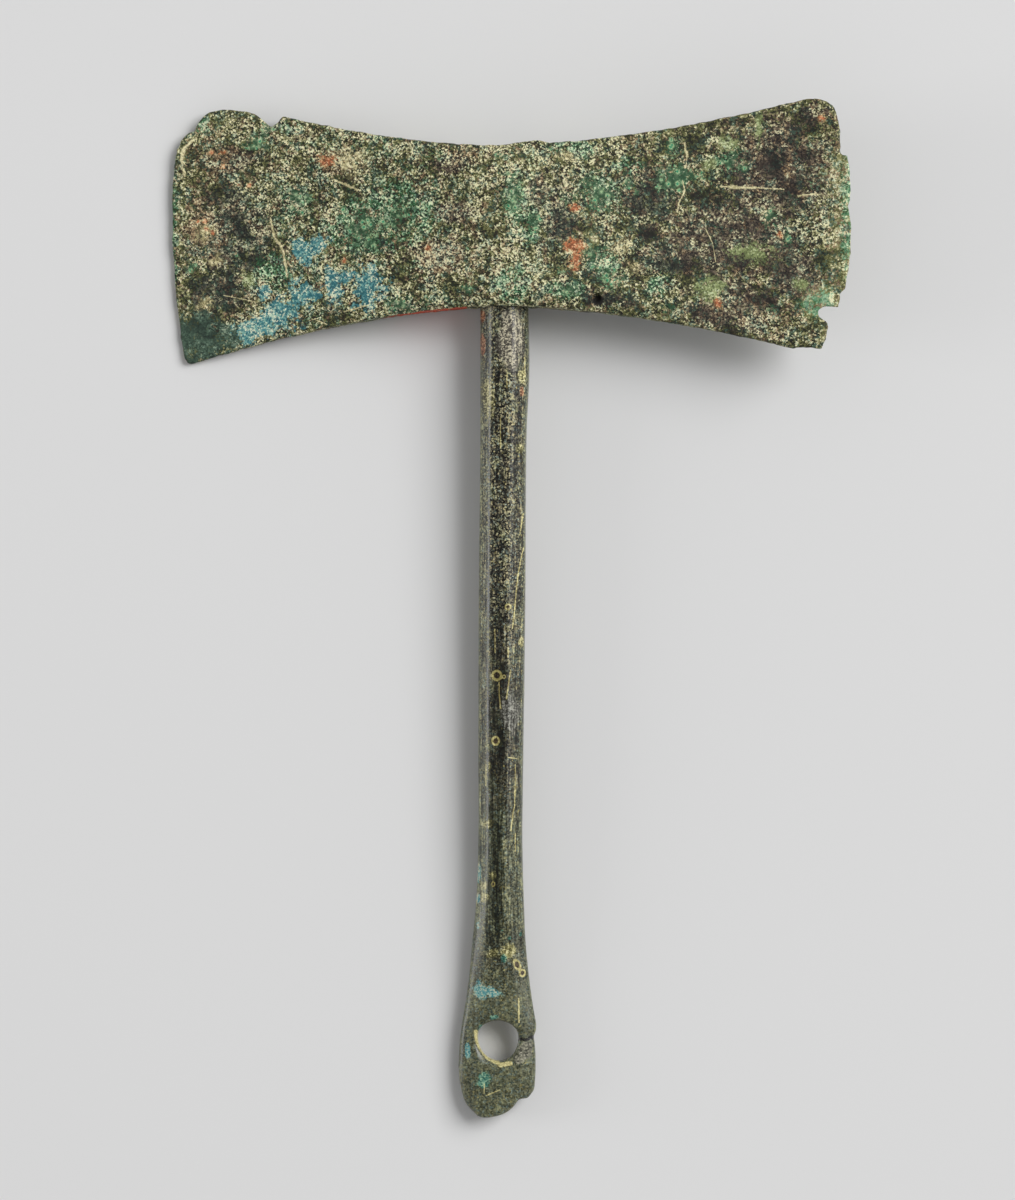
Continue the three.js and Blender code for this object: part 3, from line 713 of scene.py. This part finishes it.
ROD_MALACHITE = [
    (-1.3, -53.3, 0.3, 0.2, 0), (0.0, -54.6, 0.3, 0.3, 0), (1.8, -54.0, 0.2, 0.3, 0),
    (-1.0, -58.0, 0.4, 0.6, 0),
    (-2.6, -67.9, 0.6, 0.4, 0), (-4.4, -78.5, 1.2, 1.4, 0), (-4.8, -70.9, 0.5, 1.2, 0),
    (-6.8, -55.7, 0.5, 0.8, 0),
]
ROD_AZURITE = [
    (-4.7, -63.7, 1.1, 1.2, 0), (-2.9, -63.8, 1.1, 0.7, 0), (-7.0, -74.1, 0.4, 1.4, 0),
    (-5.3, -43.9, 0.4, 1.7, 0), (-5.5, -48.1, 0.4, 0.8, 0), (-5.4, -52.2, 0.3, 0.6, 0),
]
STREAKS = [
    (0.09, (-0.5, 38.9), (-0.5, 37.3)), (0.08, (-1.6, 31.8), (-1.6, 27.3)), (0.08, (2.5, 41.8), (2.5, 39.3)),
    (0.09, (2.2, 15.9), (1.7, 12.9)), (0.10, (2.2, 10.1), (1.7, 7.9), (1.3, 5.6), (0.9, 1.4), (0.5, -2.7)),
    (0.08, (-2.5, -3.4), (-2.5, -6.7)), (0.10, (-0.3, -6.4), (-0.3, -7.5)),
    (0.10, (-1.8, -12.2), (-1.8, -14.2), (-1.6, -16.0)), (0.10, (0.1, -10.2), (-0.5, -14.4)),
    (0.08, (0.9, -26.0), (0.9, -31.0)), (0.08, (-4.0, -26.0), (-4.0, -28.8)),
    (0.07, (0.0, -24.5), (0.8, -24.6)),
    (0.08, (0.8, -30.0), (0.8, -32.4), (0.5, -33.9), (0.2, -36.4)), (0.09, (0.9, -37.4), (0.9, -39.9)),
    (0.10, (1.5, -65.0), (1.5, -68.5)), (0.07, (-3.7, -80.9), (-2.0, -80.2)), (0.06, (-4.3, -79.4),
    (-4.3, -80.4)),
    (0.36, (-5.7, -70.4), (-5.3, -72.5), (-3.7, -74.7), (-1.5, -75.9), (0.1, -75.6)),
]
CRACK = [(0.26, (1.5, -71.5), (2.7, -71.7), (3.6, -71.3), (4.6, -71.3))]
RUBBLE = [(2.7, -73.1, 1.2, 1.6, 0), (1.6, -74.9, 0.9, 0.8, 0)]
# darker streaks along the rod's upper face, left of its middle: painted shade
SHADE_STREAKS = [(-1.9, -46.0, 0.7, 11.0, 0), (-1.2, -17.0, 0.9, 8.0, 0), (-2.3, 44.5, 0.5, 6.0, -8)]
ROD_SPOTS = {
    "filed": FILED, "scraped": SCRAPED, "olive": ROD_OLIVE, "malachite": ROD_MALACHITE,
    "azurite": ROD_AZURITE, "cuprite": ROD_CUPRITE, "rings": RINGS, "rubble": RUBBLE,
}
rod_top = soft(rod_normals[:, 2], -0.3, 0.0)
rod_below = np.where(rod_top > 0.5, 0.0, FAR)
for name, spots in ROD_SPOTS.items():
    keep_field(rod.data, name, np.maximum(spots_field(rod_places, spots), rod_below))
for name, lines in (("streak", STREAKS), ("crack", CRACK)):
    across, near = lines_fields(rod_places, lines)
    keep_field(rod.data, name + "_across", across)
    keep_field(rod.data, name + "_near", near * rod_top)
paddle = soft(rod_places[:, 1], -50.0, -66.0)
sides = soft(np.abs(rod_normals[:, 0]), 0.6, 0.95)
keep_field(rod.data, "sides", sides)
rod_clouds = rough(rod_places, size=3.5, octaves=3, seed=41.0)
levels = np.linspace(-60, 45, 22)
rows = [rod_places[np.abs(rod_places[:, 1] - y) < 1, 0] for y in levels]
middles = [np.ptp(xs) / 2 + xs.min() for xs in rows]
off_axis = rod_places[:, 0] - np.interp(rod_places[:, 1], levels, middles)
shaft = (1 - paddle) * rod_top  # the upper side of the rod, without its eye
middle = soft(np.abs(off_axis + 0.4), 2.3, 1.5) * shaft
# painted highlights: a paler band right of the rod's middle and another along its left flank, where the lamps
# are mirrored in the glossy rod
painted_right_highlight = soft(np.abs(off_axis - 1.2), 0.9, 0.3) * shaft * soft(rod_places[:, 1], 40.0, 34.0)
painted_left_highlight = soft(off_axis, -1.6, -2.6) * shaft * soft(rod_places[:, 1], 40.0, 20.0)
# painted shade: a darker band left of the rod's middle, and darker streaks along it
painted_shade_band = soft(np.abs(off_axis + 0.8), 1.4, 0.5) * shaft
painted_shade_streaks = soft(spots_field(rod_places, SHADE_STREAKS), 1.4, 0.6)
ROD_MEAN_TONE = 0.535
# the rod's tone: its patina's own shade, plus the painted highlights and painted shade above; the middle band
# is also painted a little darker
banded = (ROD_MEAN_TONE - 0.03 * middle - 0.10 * painted_shade_band + 0.07 * painted_right_highlight + 0.08 * painted_left_highlight + 0.055 * paddle
          + 0.05 * rod_clouds)
keep_field(rod.data, "tone", banded - 0.14 * painted_shade_streaks * rod_top)
lower = soft(rod_places[:, 1], -24.0, -42.0) * (1 - paddle)
worn = soft(rod_places[:, 1], 8.0, -12.0) * (1 - paddle)
keep_field(rod.data, "grit", 0.50 + 0.28 * middle - (0.15 + 0.28 * middle) * worn - 0.22 * paddle)
keep_field(rod.data, "sheen", 1 - 0.75 * paddle)
keep_field(rod.data, "greener", np.maximum(paddle, lower))
print("marks:", len(STREAKS), "streaks,", len(RINGS), "rings")

# %% The rod's patina
patina, tree, shader, place = new_material("Dark patina on worked bronze")
drawn = add(tree, "ShaderNodeVectorMath", {"operation": "MULTIPLY", 1: (1.0, 0.07, 1.0)}, {0: place})
streaks = add(tree, "ShaderNodeTexNoise", {"Scale": 1 / 0.34, "Detail": 2.0, "Roughness": 0.65},
              {"Vector": drawn})
grain = add(tree, "ShaderNodeTexNoise", {"Scale": 1 / 0.38, "Detail": 2.0, "Roughness": 0.8},
            {"Vector": place})
stains = add(tree, "ShaderNodeTexNoise", {"Scale": 1 / 2.6, "Detail": 5.0, "Roughness": 0.7},
             {"Vector": place})
bent = add(tree, "ShaderNodeVectorMath", {"operation": "MULTIPLY_ADD", 1: (0.4, 0.4, 0.4)},
           {0: grain.outputs["Color"], 2: place})
sand = add(tree, "ShaderNodeTexVoronoi", {"Scale": 1 / 0.24}, {"Vector": bent})
lots = add(tree, "ShaderNodeSeparateColor", {}, {"Color": sand.outputs["Color"]})
crumbs = add(tree, "ShaderNodeMath", {"operation": "MULTIPLY_ADD", 1: 0.45}, {0: grain, 2: stains})
ROD_GAINS = ((streaks, 1.2, "sheen"), (grain, 1.0, "grit"), (lots, 1.2, "grit"), (stains, 1.3, "grit"))
# the tone read here carries the painted highlights and the painted shade bands
rod_tone = "tone"
for source, gain, weight in ROD_GAINS:
    swing = add(tree, "ShaderNodeMath", {"operation": "MULTIPLY_ADD", 1: gain, 2: -gain / 2}, {0: source})
    rod_tone = add(tree, "ShaderNodeMath", {"operation": "MULTIPLY_ADD"}, {0: swing, 1: weight, 2: rod_tone})
BRONZE = ("#0b0a07", "#1a1811", "#2b291f", "#413e32", "#5e5947", "#837b5f", "#bdb188")
OLIVE_BRONZE = ("#14160d", "#272a19", "#3b3f2b", "#51553f", "#6b6e51", "#8a8c66", "#bcbc8e")
YELLOWED = ("#171306", "#2f290f", "#504820", "#746a34", "#988c4c", "#b9ad69", "#d9cf97")
COLD_BRONZE = ("#0b1110", "#1a2422", "#2c3936", "#42514c", "#5c6d66", "#7b8b83", "#a9b7ab")
SHARES = (  # what decides, the colours it brings, its gain and its start
    ("sides", OLIVE_BRONZE, 0.8, 0.0),
    ("greener", OLIVE_BRONZE, 0.8, 0.0),
    (lots.outputs["Green"], YELLOWED, 6.0, -5.2),
    (stains, OLIVE_BRONZE, 6.0, -2.9),
    (lots.outputs["Blue"], COLD_BRONZE, 5.0, -3.6),
)
ROD_STEPS = (0.10, 0.28, 0.42, 0.56, 0.68, 0.80, 0.95)
surface = add(tree, "ShaderNodeValToRGB", {"stops": list(zip(ROD_STEPS, BRONZE))}, {"Fac": rod_tone})
for source, codes, gain, start in SHARES:
    colour = add(tree, "ShaderNodeValToRGB", {"stops": list(zip(ROD_STEPS, codes))}, {"Fac": rod_tone})
    share = add(tree, "ShaderNodeMath", {"operation": "MULTIPLY_ADD", "use_clamp": True, 1: gain, 2: start},
                {0: source})
    share = add(tree, "ShaderNodeMath", {"operation": "MULTIPLY", 1: 0.85}, {0: share})
    surface = add(tree, "ShaderNodeMix", {"data_type": "RGBA"}, {"Factor": share, "A": surface, "B": colour})

# %% The marks over it
MARK_STEPS = (0.3, 0.5, 0.65, 0.85)
MARKS = {  # field: its raggedness and its colours
    "filed": (1.2, ("#45413a", "#6e6a5d", "#958e79", "#cbc3a8")),
    "scraped": (2.0, ("#2b2a24", "#54534b", "#7b7a70", "#b0afa2")),
    "rubble": (1.6, ("#20201c", "#4a4a41", "#7d7b69", "#bdb9a2")),
    "olive": (3.4, ("#3c3a20", "#79754a", "#b4ae76", "#e8e0ae")),
    "malachite": (4.0, ("#1a3c30", "#33675a", "#679683", "#b5d3a8")),
    "azurite": (5.0, ("#2a646e", "#4d8d92", "#8db7a9", "#e3cba6")),
    "cuprite": (2.0, ("#553624", "#8b5a3d", "#b07a55", "#cfa67c")),
}
for name, (raggedness, codes) in MARKS.items():
    colour = add(tree, "ShaderNodeValToRGB", {"stops": list(zip(MARK_STEPS, codes))}, {"Fac": rod_tone})
    surface = cover(tree, surface, colour, name, crumbs, raggedness, 0.72, 0.25)
hollow = add(tree, "ShaderNodeValToRGB", {"stops": [(0.3, "#1a150d"), (0.8, "#5b4c33")]}, {"Fac": rod_tone})
surface = cover(tree, surface, hollow, "rings", grain, 0.8, 0.5, 0.2)
ring = add(tree, "ShaderNodeMath", {"operation": "SUBTRACT", 1: 0.95}, {0: "rings"})
ring = add(tree, "ShaderNodeMath", {"operation": "ABSOLUTE"}, {0: ring})
ring = add(tree, "ShaderNodeMath", {"operation": "MULTIPLY", 1: 4.0}, {0: ring})
yellow = add(tree, "ShaderNodeValToRGB", {"stops": [(0.3, "#857c48"), (0.8, "#ddd394")]}, {"Fac": rod_tone})
surface = cover(tree, surface, yellow, ring, grain, 1.2, 0.5, 0.4)
cream = add(tree, "ShaderNodeValToRGB", {"stops": [(0.3, "#84794a"), (0.7, "#ddd498")]}, {"Fac": rod_tone})
gap = add(tree, "ShaderNodeValToRGB", {"stops": [(0.3, "#060605"), (0.9, "#1c1b17")]}, {"Fac": rod_tone})
for name, colour in (("streak", cream), ("crack", gap)):
    width = add(tree, "ShaderNodeMath", {"operation": "ABSOLUTE"}, {0: name + "_across"})
    closeness = add(tree, "ShaderNodeMapRange",
                    {"From Min": 0.6, "From Max": 0.4, "To Min": 0.0, "To Max": FAR},
                    {"Value": name + "_near"})
    line = add(tree, "ShaderNodeMath", {"operation": "MAXIMUM"}, {0: width, 1: closeness})
    surface = cover(tree, surface, colour, line, grain, 3.0, 0.5, 0.4)
tree.links.new(surface.outputs[2], shader.inputs["Base Color"])
gloss = add(tree, "ShaderNodeMapRange", {"From Min": 0.35, "From Max": 0.95, "To Min": 0.20, "To Max": 0.5},
            {"Value": rod_tone})
tree.links.new(gloss.outputs[0], shader.inputs["Roughness"])
shader.inputs["IOR"].default_value = 1.55
bump = add(tree, "ShaderNodeBump", {"Strength": 0.5, "Distance": 0.04 * MM}, {"Height": rod_tone})
tree.links.new(bump.outputs[0], shader.inputs["Normal"])
rod.data.materials.append(patina)

# %% The skins stand for the solids
for piece, node, slot in ((head, "axe_head", "crusted_bronze"), (rod, "rod_handle", "polished_bronze")):
    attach(piece, "root")
    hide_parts(node)

# %% [markdown]
# ## The ground and the light
# The axe lies on a plain pale board. One broad soft light stands to the right and a little
# above the head, so that shadows fall to the left and below, and a weaker one stands to the
# left, low, which draws the long highlight on the rod's left side. The rest is the light of a
# pale room: its walls are bright and its ceiling is dim, so the rod's upper face stays dark.

# %% Ground
FLOOR_HALF = 2.0  # half the floor's side, in metres
ground = bmesh.new()
bmesh.ops.create_grid(ground, x_segments=1, y_segments=1, size=FLOOR_HALF)
mesh = bpy.data.meshes.new("floor")
ground.to_mesh(mesh)
ground.free()
floor = bpy.data.objects.new("floor", mesh)
bpy.context.scene.collection.objects.link(floor)
board, _, shader, _ = new_material("Matt board")
shader.inputs["Base Color"].default_value = linear("#dfdfdf")
shader.inputs["Roughness"].default_value = 0.9
shader.inputs["Specular IOR Level"].default_value = 0.1
floor.data.materials.append(board)
floor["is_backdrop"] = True

# %% Lights
def soft_light(name, towards, height, distance, size, power):
    """A square soft light; towards is its direction seen from above, height its elevation."""
    lamp = bpy.data.lights.new(name, "AREA")
    lamp.shape = "SQUARE"
    lamp.size = size
    lamp.energy = power
    turn, rise = math.radians(towards), math.radians(height)
    out = Vector((math.cos(turn) * math.cos(rise), math.sin(turn) * math.cos(rise), math.sin(rise)))
    light = bpy.data.objects.new(name, lamp)
    light.location = out * distance
    light.rotation_euler = out.to_track_quat("Z", "Y").to_euler()
    bpy.context.scene.collection.objects.link(light)


soft_light("key", towards=30, height=42, distance=3.2, size=2.0, power=94)
soft_light("fill", towards=180, height=14, distance=1.4, size=0.5, power=4.2)
room = bpy.data.worlds.new("room")
room.use_nodes = True
sky = room.node_tree
direction = add(sky, "ShaderNodeTexCoord", {})
upward = add(sky, "ShaderNodeSeparateXYZ", {}, {"Vector": direction.outputs["Object"]})
walls = add(sky, "ShaderNodeMapRange", {"From Min": 0.35, "From Max": 0.95, "To Min": 0.55, "To Max": 0.16},
            {"Value": upward.outputs["Z"]})
sky.links.new(walls.outputs[0], sky.nodes["Background"].inputs["Strength"])
sky.nodes["Background"].inputs["Color"].default_value = (1, 1, 1, 1)
bpy.context.scene.world = room
bpy.context.scene.view_settings.view_transform = "Standard"

# %% Check the size
visual_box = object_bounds()
grown = [round((v - c) / MM, 2) for a, b in zip(visual_box, cad_box) for v, c in zip(a, b)]
print("grown by (mm):", grown)
